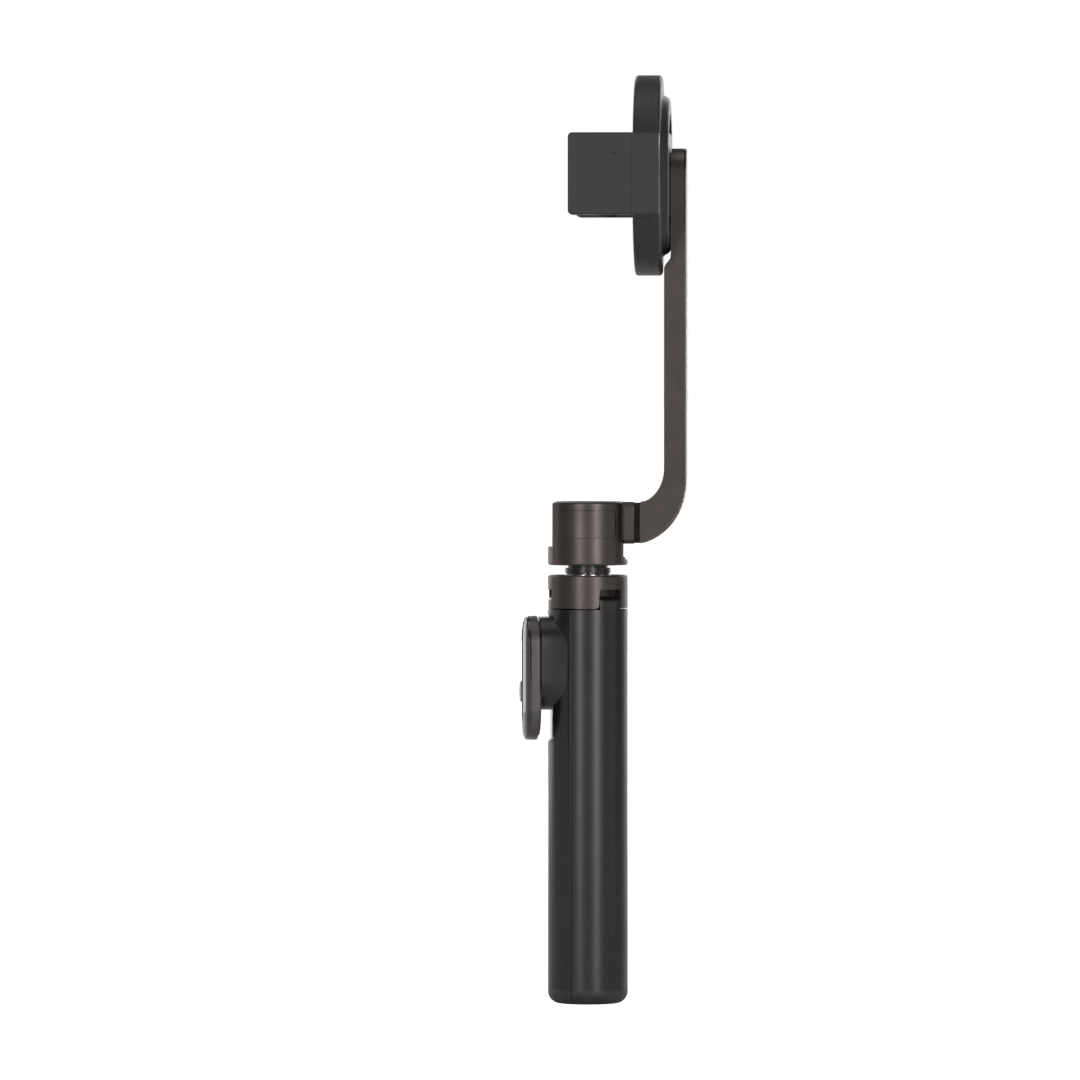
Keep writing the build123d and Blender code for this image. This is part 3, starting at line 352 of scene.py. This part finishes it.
# The CAD leg loses its own stub of a boss, is closed, and gets this one welded on.
remote_leg = merged_copy("leg_remote", "leg_remote_bossed")
choose("polygons", lambda face: LEG_SKIN_R < max(
    Vector(remote_leg.data.vertices[v].co[:2]).length for v in face.vertices))
bpy.ops.mesh.delete(type="FACE")
bpy.ops.mesh.select_all(action="SELECT")
bpy.ops.mesh.fill_holes(sides=0)
bpy.ops.mesh.quads_convert_to_tris()
bpy.ops.object.mode_set(mode="OBJECT")
boolean(remote_leg, boss, "UNION")
bpy.data.objects.remove(boss)
bpy.ops.object.mode_set(mode="EDIT")
bpy.ops.mesh.select_all(action="SELECT")
bpy.ops.mesh.remove_doubles(threshold=MERGE_GAP)
bpy.ops.mesh.dissolve_limited(angle_limit=FLAT_ANGLE)
bpy.ops.object.mode_set(mode="OBJECT")
rim = remote_leg.modifiers.new("rim", "BEVEL")
rim.width = 0.0002
rim.segments = 2
rim.limit_method = "ANGLE"
rim.angle_limit = radians(30)
bpy.ops.object.modifier_apply(modifier=rim.name)
bpy.ops.object.shade_smooth_by_angle(angle=radians(30))
place(remote_leg, "leg_remote_bossed", leg_satin, "leg_remote", stands_for="leg_remote")

remote_shell = finish(
    "remote_shell", (0.085, 0.076, 0.074), (0.105, 0.094, 0.09), (0.3, 0.27, 0.25), (0.30, 0.40),
    grain=6000.0, depth=0.000005, rub=0.3, Metallic=0.6, IOR=1.6,
)
remote_gloss = finish(
    "remote_gloss", (0.014, 0.013, 0.014), (0.018, 0.017, 0.018), (0.08, 0.08, 0.08), (0.10, 0.17),
    grain=1500.0, depth=0.0000015, rub=0.2, IOR=1.55, Coat_Weight=0.5, Coat_Roughness=0.06,
)
button_satin = finish(
    "button_satin", (0.05, 0.047, 0.047), (0.06, 0.056, 0.055), (0.25, 0.24, 0.23), (0.28, 0.38),
    grain=5000.0, depth=0.000005, rub=0.4, IOR=1.6,
)
eased_copy("remote_back", 0.0002, "remote", remote_shell)

# The face is a pillow: a stadium plate whose top is stepped in and up along a quarter ellipse.
FACE_BASE = 0.0224
FACE_WALL = 0.0008
FACE_CROWN = 0.00205
CROWN_REACH = 0.0095
CROWN_STEPS = 12
bpy.ops.object.select_all(action="DESELECT")
bpy.ops.mesh.primitive_cylinder_add(vertices=96, radius=REMOTE_HALF_WIDTH, depth=FACE_WALL,
                                    end_fill_type="NGON", location=(0, 0, FACE_WALL / 2))
crown = bpy.context.object
apply_place()
bpy.ops.object.mode_set(mode="EDIT")
bpy.ops.mesh.select_mode(type="VERT")
stretch_disc(REMOTE_HALF_RUN)
bpy.ops.mesh.select_mode(type="FACE")
choose("polygons", lambda face: face.normal.z > 0.9)
done_in = done_up = 0.0
for step in range(1, CROWN_STEPS + 1):
    turn = (pi / 2) * step / CROWN_STEPS
    now_in, now_up = CROWN_REACH * (1 - cos(turn)), FACE_CROWN * sin(turn)
    bpy.ops.mesh.inset(thickness=now_in - done_in, depth=now_up - done_up)
    done_in, done_up = now_in, now_up
bpy.ops.object.mode_set(mode="OBJECT")
turn_out(crown, FACE_BASE, REMOTE_Z)

# A bore for the button, and a wider pocket behind it for the button's flange.
BUTTON_Z = 0.117
for bore_r, out_from, out_to in ((0.00415, 0.022, 0.027), (0.0052, 0.022, 0.0238)):
    bore_mid = (out_from + out_to) / 2
    bpy.ops.mesh.primitive_cylinder_add(
        vertices=64, radius=bore_r, depth=out_to - out_from, rotation=(0, pi / 2, BOSS_TURN),
        location=(bore_mid * cos(BOSS_TURN), bore_mid * sin(BOSS_TURN), BUTTON_Z))
    bore = bpy.context.object
    select_only(crown)
    boolean(crown, bore, "DIFFERENCE")
    bpy.data.objects.remove(bore)
bpy.ops.object.shade_smooth_by_angle(angle=radians(40))
place(crown, "remote_crown", remote_gloss, "remote", stands_for="remote_face")
eased_copy("shutter_button", 0.0002, "shutter", button_satin)

# The button's mark is a pale printed ring, a hair proud of it, centred on the shutter's own axis.
mark_paint = finish(
    "mark_paint", (0.55, 0.54, 0.52), (0.62, 0.61, 0.59), (0.7, 0.7, 0.7), (0.45, 0.55),
    grain=4000.0, depth=0.000003, rub=0.1, IOR=1.45,
)
bpy.ops.object.select_all(action="DESELECT")
MARK_OUT = 0.02552
bpy.ops.mesh.primitive_cylinder_add(vertices=64, radius=0.0021, depth=0.00006, end_fill_type="NGON")
mark = bpy.context.object
open_disc(0.0003)
turn_out(mark, MARK_OUT, BUTTON_Z)
place(mark, "shutter_mark", mark_paint, "shutter")
dress(leg_satin, "remote_cradle")
board_green = finish(
    "board_lacquer", (0.01, 0.075, 0.035), (0.014, 0.10, 0.045), (0.5, 0.35, 0.12), (0.22, 0.34),
    grain=1400.0, pits=0.8, depth=0.00001, rub=0.8, cloud=700.0, Coat_Weight=0.4,
)
cell_steel = finish(
    "cell_foil", (0.52, 0.52, 0.53), (0.60, 0.60, 0.61), (0.8, 0.8, 0.8), (0.2, 0.32),
    grain=2200.0, depth=0.000006, rub=0.3, cloud=160.0, Metallic=1.0,
)
dress(board_green, "remote_board")
dress(cell_steel, "remote_cell")

# ---- telescopic pole -------------------------------------------------------------------------
# Five thin drawn stainless tubes, one inside the next. Each has an in-turned lip at its mouth and a
# pale acetal friction bush at its foot, and the outermost is plugged below. Drawn lines run along.
pole_steel = finish(
    "drawn_steel", (0.50, 0.49, 0.47), (0.58, 0.57, 0.55), (0.75, 0.74, 0.72), (0.16, 0.30),
    grain=2400.0, depth=0.000003, rub=0.3, cloud=120.0, Metallic=1.0,
)
for mapped in [n for n in pole_steel.node_tree.nodes if n.type == "GROUP" and n.node_tree == tooth]:
    stretch = add_node(pole_steel.node_tree, "ShaderNodeMapping", Scale=(1.0, 1.0, 0.03))
    pole_steel.node_tree.links.new(mapped.inputs["Vector"].links[0].from_socket, stretch.inputs["Vector"])
    pole_steel.node_tree.links.new(stretch.outputs[0], mapped.inputs["Vector"])
bush_acetal = finish(
    "bush_acetal", (0.52, 0.51, 0.48), (0.60, 0.59, 0.55), (0.7, 0.69, 0.66), (0.38, 0.5),
    grain=3000.0, depth=0.000006, rub=0.3, IOR=1.48, Subsurface_Weight=0.1,
)
dress(pole_steel, *[f"pole_tube_{stage}" for stage in range(1, 6)], "pole_mouth_ring")
dress(bush_acetal, *[f"pole_bush_{stage}" for stage in range(2, 6)], "pole_end_plug")

# ---- neck and pan joint ----------------------------------------------------------------------
# The socket crimped on the last tube. Its journal carries the head, which a washer and a socket
# screw hold down from above. Turned aluminium, anodised the darkest of the bronze parts.
neck_dark = finish(
    "neck_dark", (0.035, 0.029, 0.029), (0.045, 0.038, 0.037), (0.30, 0.27, 0.25), (0.28, 0.38),
    grain=5000.0, depth=0.000005, rub=0.5, Metallic=0.6, IOR=1.7,
)
dress(neck_dark, "neck_socket")
dress(pin_steel, "pan_retainer", "pan_screw")

# ---- head and tilt hinge ---------------------------------------------------------------------
# A clevis turned from the same bar as the collar and slotted for the arm's knuckle. The hinge bolt
# and its nut sit in bores behind two flush caps, and acetal washers give the hinge its drag.
eased_copy("head_clevis", 0.00015, "head", bronze)
eased_copy("hinge_cap_near", 0.0004, "head", bronze)
eased_copy("hinge_cap_far", 0.0004, "head", bronze)
dress(pin_steel, "tilt_pin", "tilt_nut")
dress(bush_acetal, "tilt_washers")

# ---- arm -------------------------------------------------------------------------------------
# A hollow cast arm bent at its foot, closed along the outer side by a thin cover. The cell, the
# board, the socket and the power button are inside it. Bronze anodised, with bright-cut edges.
eased_copy("arm_frame", 0.0004, "arm", bronze)
eased_copy("arm_cover", 0.0004, "arm", bronze)



def round_along(axis, radius):
    """Rounds the edges of the active block that run along one axis."""
    bpy.ops.object.mode_set(mode="EDIT")
    bpy.ops.mesh.select_mode(type="EDGE")
    block = bpy.context.object.data
    choose("edges", lambda edge: 0.001 < abs(
        block.vertices[edge.vertices[0]].co[axis] - block.vertices[edge.vertices[1]].co[axis]))
    bpy.ops.mesh.bevel(offset=radius, segments=5)
    bpy.ops.object.mode_set(mode="OBJECT")


# A near-black gasket is painted shade: it fills the neck between the knuckle and the bent arm, so the joint
# reads as a dark groove that sits just below both skins.
NECK_X, NECK_LENGTH, TILT_Z = 0.0186, 0.0025, 0.1802
GASKET_WIDTH, GASKET_HEIGHT, GASKET_CORNER = 0.0103, 0.0150, 0.0014
bpy.ops.object.select_all(action="DESELECT")
bpy.ops.mesh.primitive_cube_add(size=1.0, location=(NECK_X, 0, TILT_Z),
                                scale=(NECK_LENGTH, GASKET_WIDTH, GASKET_HEIGHT))
gasket = bpy.context.object
apply_place()
round_along(0, GASKET_CORNER)
bpy.ops.object.shade_smooth_by_angle(angle=radians(35))
place(gasket, "arm_shade_gasket", painted_shade_felt, "arm")
eased_copy("arm_knuckle", 0.0002, "arm", bronze)
eased_copy("power_button", 0.0002, "power", button_satin)

# A light pipe of clear polycarbonate beside the power button shows that the motor is on. Its pale green
# colour is a painted glow: it gives off no light.
painted_glow_lens = finish(
    "painted_glow_lens", (0.30, 0.42, 0.36), (0.36, 0.48, 0.42), (0.6, 0.6, 0.6), (0.12, 0.2),
    grain=1200.0, depth=0.000001, rub=0.1, IOR=1.58, Coat_Weight=0.6,
)
bpy.ops.object.select_all(action="DESELECT")
LENS_PLACE = (0.0328, 0.01, 0.2592)
bpy.ops.mesh.primitive_cylinder_add(vertices=32, radius=0.0006, depth=0.0006, location=LENS_PLACE,
                                    rotation=(pi / 2, 0, 0), end_fill_type="NGON")
lens = bpy.context.object
apply_place()
bpy.ops.object.mode_set(mode="EDIT")
bpy.ops.mesh.select_mode(type="FACE")
choose("polygons", lambda face: face.normal.y > 0.9)
bpy.ops.mesh.bevel(offset=0.0002, segments=3)
bpy.ops.object.mode_set(mode="OBJECT")
bpy.ops.object.shade_smooth_by_angle(angle=radians(50))
place(lens, "status_lens", painted_glow_lens, "arm")
dress(pin_steel, "usb_port", "arm_screws")
dress(board_green, "control_board")
dress(cell_steel, "battery")

# ---- roll motor ------------------------------------------------------------------------------
# A flat outrunner: a wound stator and a bearing on the arm, a steel bell and a hollow shaft on the
# holder. It shows only as a dark gap and the shaft's end.
# The stator wears the dark neck finish instead of copper and steel. This is painted shade, so the gap
# between arm and ring reads dark.
dress(neck_dark, "motor_stator")
dress(pin_steel, "motor_bearing", "motor_rotor", "motor_shaft", "holder_screws")

# ---- ring holder -----------------------------------------------------------------------------
# Two moulded shells screwed together round the clamp's gears, with a pale satin ring let into the
# front. Glass-filled nylon with a spark-eroded skin that goes slightly shiny on the rims.
holder_nylon = finish(
    "holder_nylon", (0.014, 0.0135, 0.0145), (0.018, 0.0173, 0.0187), (0.07, 0.068, 0.07),
    (0.40, 0.52),
    grain=4200.0, pits=0.6, depth=0.000012, rub=0.3, cloud=90.0, IOR=1.5,
)
eased_copy("ring_housing", 0.0002, "holder", holder_nylon)
eased_copy("ring_back", 0.0002, "holder", holder_nylon)
dress(holder_nylon, "gear_plate")
dress(pin_steel, "pinion_pin", "clamp_spring")
face_satin = finish(
    "face_satin", (0.80, 0.80, 0.80), (0.86, 0.86, 0.86), (0.9, 0.9, 0.9), (0.34, 0.44),
    grain=5500.0, depth=0.000004, rub=0.2, Metallic=0.1, IOR=1.5,
)
eased_copy("face_ring", 0.00015, "holder", face_satin)

# ---- self-centring clamp ---------------------------------------------------------------------
# Two hooked jaws on racks that mesh with one sprung pinion, so both move alike. The jaws are the
# same nylon as the ring, and each has a ribbed rubber pad bonded into its inner face.
dress(holder_nylon, "clamp_pinion")
JAW_DOT_X, JAW_DOT_Z, JAW_OUTER_Y = 0.01125, 0.3178, 0.0475
for name, side in (("near", -1), ("far", 1)):
    bpy.ops.mesh.primitive_cylinder_add(
        vertices=24, radius=0.00045, depth=0.0012,
        location=(JAW_DOT_X, side * JAW_OUTER_Y, JAW_DOT_Z), rotation=(pi / 2, 0, 0),
    )
    drill = bpy.context.object
    eased_copy(f"jaw_{name}", 0.0003, f"jaw_{name}", holder_nylon,
               cutters=[drill])
    bpy.data.objects.remove(drill)
    eased_copy(f"jaw_{name}_rack", 0.0002, f"jaw_{name}", holder_nylon)

pad_rubber = finish(
    "pad_rubber", (0.022, 0.022, 0.023), (0.03, 0.03, 0.031), (0.08, 0.08, 0.08), (0.55, 0.68),
    grain=3000.0, pits=0.5, depth=0.000012, rub=0.3, cloud=160.0, IOR=1.45,
)
PAD_CORNER = 0.0011
RIB_RISE = 0.0006
RIB_PITCH = 0.002
RIB_COUNT = 11
for name, side in (("near", -1), ("far", 1)):
    low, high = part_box(f"jaw_{name}_pad")
    middle = (low + high) / 2
    reach = high - low
    bpy.ops.object.select_all(action="DESELECT")
    bpy.ops.mesh.primitive_cube_add(
        size=1.0, location=(middle.x, middle.y + side * RIB_RISE / 2, middle.z),
        scale=(reach.x, reach.y - RIB_RISE, reach.z))
    pad = bpy.context.object
    apply_place()
    round_along(1, PAD_CORNER)
    bpy.ops.mesh.primitive_cube_add(
        size=1.0, location=(middle.x, middle.y + side * (RIB_RISE / 2 - reach.y / 2), low.z + 0.0025),
        scale=(reach.x - 0.001, RIB_RISE, 0.001))
    rib = bpy.context.object
    apply_place()
    bpy.ops.object.mode_set(mode="EDIT")
    bpy.ops.mesh.select_all(action="SELECT")
    bpy.ops.mesh.bevel(offset=0.00018, segments=2)
    bpy.ops.object.mode_set(mode="OBJECT")
    bpy.ops.object.select_all(action="DESELECT")
    for count in range(RIB_COUNT):
        copy = bpy.data.objects.new("rib", rib.data.copy())
        bpy.context.scene.collection.objects.link(copy)
        copy.location.z = RIB_PITCH * count
        copy.select_set(True)
    bpy.data.objects.remove(rib)
    pad.select_set(True)
    bpy.context.view_layer.objects.active = pad
    bpy.ops.object.join()
    bpy.ops.object.shade_smooth_by_angle(angle=radians(35))
    place(pad, f"ribbed_pad_{name}", pad_rubber, f"jaw_{name}",
          stands_for=f"jaw_{name}_pad")

# ---- floor, light and camera -----------------------------------------------------------------
# A white sweep that carries no visible line, two tall soft strips either side of the camera that
# draw the pair of highlights on the handle, panels at the sides and behind, and a soft box above.
bpy.ops.mesh.primitive_plane_add(size=60.0, location=(0, 0, 0))
floor = bpy.context.object
floor.name = "floor"
paper = bpy.data.materials.new("white_paper")
paper.use_nodes = True
paper_tree = paper.node_tree
paper_shader = paper_tree.nodes["Principled BSDF"]
paper_shader.inputs["Base Color"].default_value = (0.86, 0.86, 0.86, 1)
paper_shader.inputs["Roughness"].default_value = 0.9
paper_shader.inputs["Specular IOR Level"].default_value = 0.0
paper_shader.inputs["Emission Color"].default_value = (1, 1, 1, 1)
seen = add_node(paper_tree, "ShaderNodeLightPath")
glow = add_node(paper_tree, "ShaderNodeMath", {"operation": "MULTIPLY"},
                i0=seen.outputs["Is Camera Ray"], i1=1.0)
paper_tree.links.new(glow.outputs[0], paper_shader.inputs["Emission Strength"])
floor.data.materials.append(paper)

world = bpy.data.worlds.new("studio")
bpy.context.scene.world = world
world.use_nodes = True
sky = world.node_tree
sky.nodes["Background"].inputs["Color"].default_value = (1, 1, 1, 1)
sky_ray = add_node(sky, "ShaderNodeLightPath")
sky_level = add_node(sky, "ShaderNodeMapRange", i0=sky_ray.outputs["Is Camera Ray"], i3=0.13, i4=1.0)
sky.links.new(sky_level.outputs[0], sky.nodes["Background"].inputs["Strength"])

CAMERA_TURN = radians(2.5)
CAMERA_DISTANCE, CAMERA_HEIGHT = 3.5, 0.249
VIEW_WIDTH = 0.405
SENSOR = 36.0
AIM = Vector((-0.018, 0.0, 0.1737))


def studio_panel(name, azimuth, distance, height, wide, tall, power):
    """A soft box that faces the object, at an azimuth from the camera, positive towards +X."""
    turn = CAMERA_TURN + radians(azimuth)
    data = bpy.data.lights.new(name, "AREA")
    data.shape = "RECTANGLE"
    data.size = wide
    data.size_y = tall
    data.energy = power
    lamp = bpy.data.objects.new(name, data)
    bpy.context.scene.collection.objects.link(lamp)
    lamp.location = (distance * sin(turn), -distance * cos(turn), height)
    aim = Vector((0, 0, 0.2)) - lamp.location
    lamp.rotation_euler = aim.to_track_quat("-Z", "Y").to_euler()
    lamp.visible_camera = False
    return lamp


studio_panel("strip_left", -24, 1.6, 0.45, 0.22, 1.5, 9.5)
studio_panel("strip_right", 25, 1.6, 0.45, 0.30, 1.5, 13.0)
studio_panel("side_right", 74, 1.8, 0.5, 0.8, 1.6, 2.4)
studio_panel("rim_left", -142, 1.9, 0.6, 1.0, 1.8, 8.0)
studio_panel("rim_right", 142, 1.9, 0.6, 1.0, 1.8, 8.0)
studio_panel("back_left", -172, 1.7, 0.5, 0.25, 1.5, 6.0)
studio_panel("back_right", 165, 1.7, 0.5, 0.25, 1.5, 6.0)
studio_panel("side_left", -104, 1.8, 0.5, 0.5, 1.6, 2.6)
top = studio_panel("overhead", 0, 0.01, 2.2, 1.6, 1.6, 7.0)
top.rotation_euler = (0, 0, 0)

camera_data = bpy.data.cameras.new("camera")
camera_data.sensor_width = SENSOR
camera_data.lens = SENSOR / (VIEW_WIDTH / CAMERA_DISTANCE)
camera = bpy.data.objects.new("camera", camera_data)
bpy.context.scene.collection.objects.link(camera)
camera.location = (AIM.x + CAMERA_DISTANCE * sin(CAMERA_TURN),
                   AIM.y - CAMERA_DISTANCE * cos(CAMERA_TURN), CAMERA_HEIGHT)
camera.rotation_euler = (AIM - camera.location).to_track_quat("-Z", "Y").to_euler()
camera_data.clip_end = 100.0
bpy.context.scene.camera = camera
bpy.context.scene.view_settings.view_transform = "Standard"
